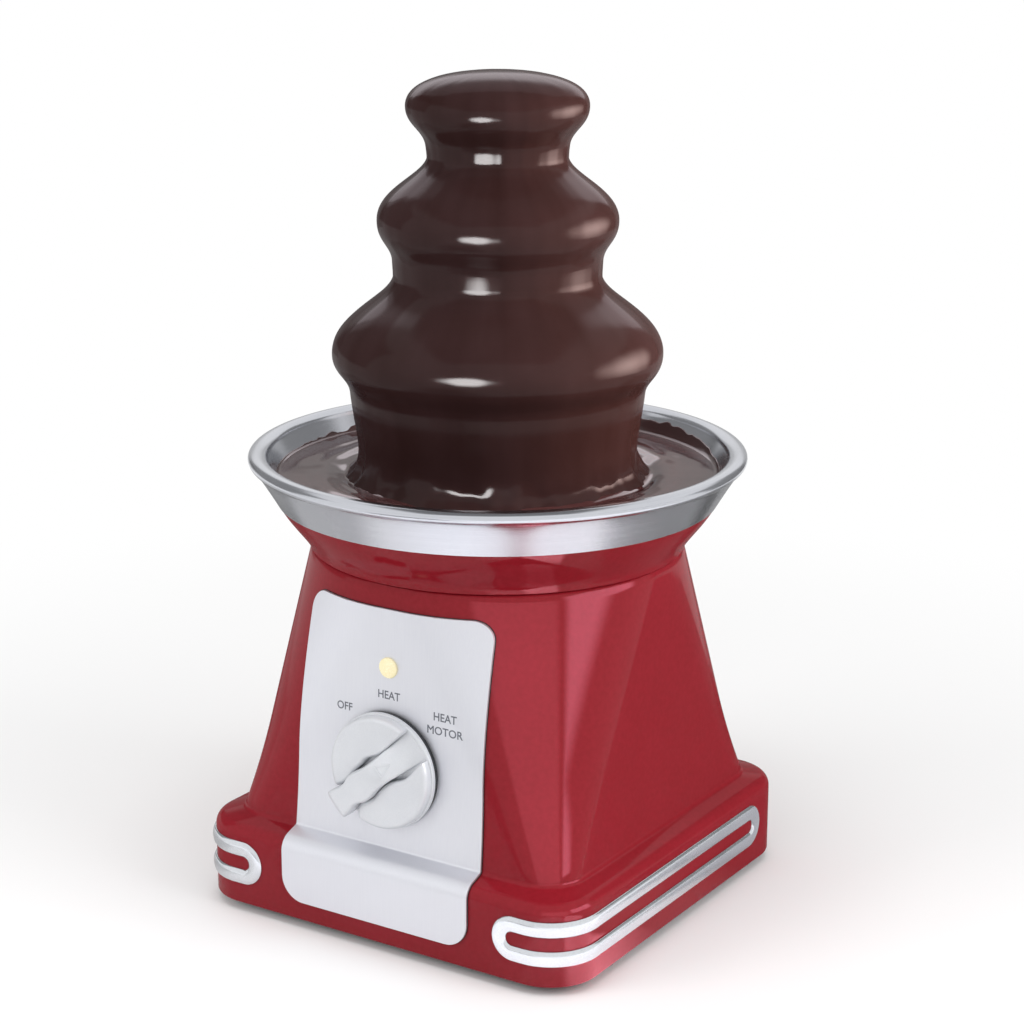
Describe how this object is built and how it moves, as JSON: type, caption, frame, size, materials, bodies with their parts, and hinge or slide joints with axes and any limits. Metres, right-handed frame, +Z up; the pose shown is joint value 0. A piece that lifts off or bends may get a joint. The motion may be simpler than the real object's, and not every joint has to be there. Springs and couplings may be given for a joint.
{
  "type": "chocolate fountain",
  "caption": "Table-top chocolate fountain: square red plinth and body with a switch panel, steel bowl and a tiered tower running with dark chocolate.",
  "frame": {"origin": "centre of the footprint on the plane of the four rubber feet", "axes": "+Z up along the tower's axis, -Y out of the control panel, +X to the right seen from the panel's side"},
  "size_m": [0.2174, 0.2174, 0.3638],
  "materials": {
    "red_plastic": "glossy crimson moulded plastic",
    "steel": "satin stainless steel",
    "panel_silver": "pale silver sheet",
    "chrome": "bright plated trim",
    "knob_plastic": "satin silver plastic",
    "lamp_plastic": "pale yellow translucent plastic",
    "black_rubber": "matt",
    "black_plastic": "matt",
    "zinc": "zinc plated",
    "bronze": "turned",
    "copper": "enamelled copper winding",
    "aluminium": "mill finish",
    "lamination": "stacked electrical steel",
    "nylon": "natural nylon",
    "phenolic": "pale ceramic",
    "chocolate": "liquid dark chocolate, wet gloss"
  },
  "bodies": {
    "base": {"housing": "red_plastic", "bowl_collar": "red_plastic", "bowl": "steel", "control_panel": "panel_silver", "trim_left": "chrome", "trim_right": "chrome", "lamp_lens": "lamp_plastic", "lamp_holder": "nylon", "rotary_switch": "black_plastic", "switch_nut": "zinc", "bottom_plate": "black_plastic", "foot_front_left": "black_rubber", "foot_front_right": "black_rubber", "foot_back_left": "black_rubber", "foot_back_right": "black_rubber", "plate_screws": "zinc", "tie_rods": "zinc", "tie_nuts": "zinc", "cord_gland": "black_rubber", "terminal_block": "nylon", "heater_plate": "aluminium", "heating_tube": "steel", "thermostat": "phenolic", "thermal_fuse": "phenolic", "heat_shield": "aluminium", "gearbox_top": "zinc", "gearbox_bottom": "zinc", "gearbox_posts": "zinc", "gearbox_hangers": "zinc", "motor_stator": "lamination", "motor_coil": "copper", "motor_bracket": "zinc", "motor_bolts": "zinc", "motor_spacers": "zinc", "idler_pin": "steel", "drive_bush": "bronze", "shaft_seal": "black_rubber", "tower_locator": "steel", "chocolate_pool": "chocolate"},
    "knob": {"knob": "knob_plastic", "switch_spindle": "zinc"},
    "drive": {"output_gear": "nylon", "drive_shaft": "steel", "auger": "nylon"},
    "idler": {"idler_gear": "nylon"},
    "rotor": {"motor_rotor": "lamination", "rotor_shaft": "steel", "motor_pinion": "bronze"},
    "tower": {"auger_tube": "steel", "lower_tier": "steel", "middle_tier": "steel", "top_tier": "steel", "tier_rings": "steel", "chocolate_lower": "chocolate", "chocolate_middle": "chocolate", "chocolate_top": "chocolate"}
  },
  "joints": [
    {"name": "tower_lift", "type": "slide", "parent": "base", "child": "tower", "axis": [0, 0, 1], "range_m": [0, 0.2]},
    {"name": "drive_spin", "type": "hinge", "parent": "base", "child": "drive", "pos_m": [0, 0, 0.12], "axis": [0, 0, 1], "continuous": true},
    {"name": "idler_spin", "type": "hinge", "parent": "base", "child": "idler", "pos_m": [0.015, 0.02598, 0.12], "axis": [0, 0, 1], "continuous": true},
    {"name": "rotor_spin", "type": "hinge", "parent": "base", "child": "rotor", "pos_m": [-0.012, 0.02598, 0.12], "axis": [0, 0, 1], "continuous": true},
    {"name": "knob_turn", "type": "hinge", "parent": "base", "child": "knob", "pos_m": [0, -0.0845, 0.0792], "axis": [0, -1, 0], "range_deg": [0, 90]}
  ],
  "couplings": [
    {"joint": "idler_spin", "follows": "drive_spin", "ratio": -4},
    {"joint": "rotor_spin", "follows": "drive_spin", "ratio": 14}
  ]
}
